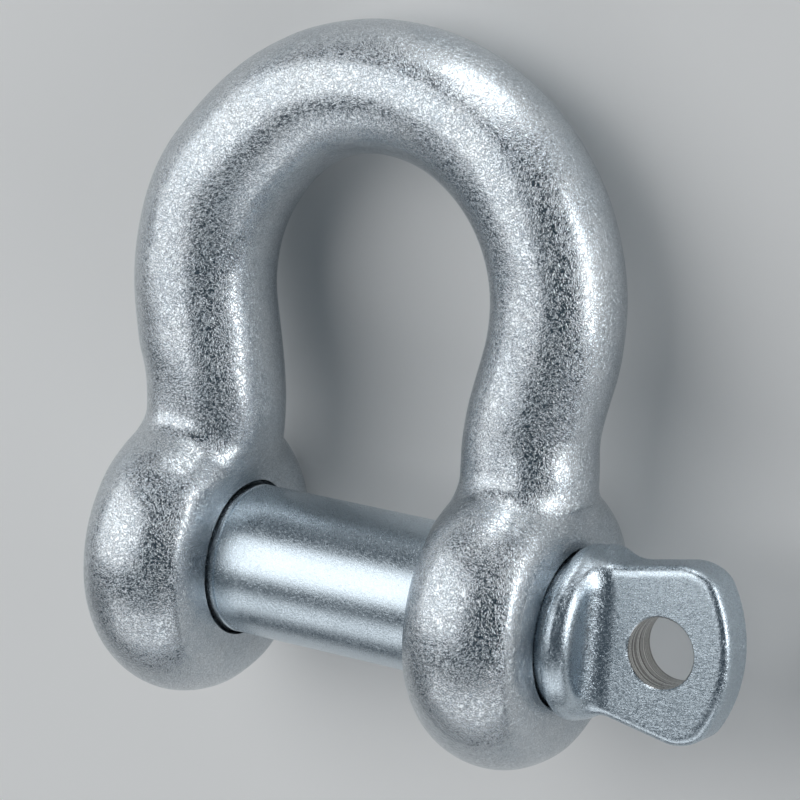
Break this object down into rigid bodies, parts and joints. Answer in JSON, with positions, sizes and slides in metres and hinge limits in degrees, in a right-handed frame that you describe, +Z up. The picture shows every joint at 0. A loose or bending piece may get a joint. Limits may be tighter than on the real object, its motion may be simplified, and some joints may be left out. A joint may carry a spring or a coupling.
{
  "type": "screw pin bow shackle",
  "caption": "Forged bow shackle with round ears, joined by a screw pin with a collar and a flattened eye head.",
  "frame": {"origin": "on the pin's axis, midway between the two ears", "axes": "+X along the pin towards its eye; the bow reaches out along +Y; +Z up as the shackle lies on its side"},
  "size_m": [0.1024, 0.1037, 0.0442],
  "materials": {
    "galvanised_bow": "hot-dip galvanised, satin with a fine grain",
    "zinc_plated_pin": "smooth zinc plating, slightly blue"
  },
  "bodies": {
    "bow": {"bow": "galvanised_bow"},
    "screw_pin": {"screw_pin": "zinc_plated_pin"}
  },
  "joints": [
    {"name": "pin_draw", "type": "slide", "parent": "bow", "child": "screw_pin", "axis": [1, 0, 0], "range_m": [-0.001, 0.12]}
  ]
}
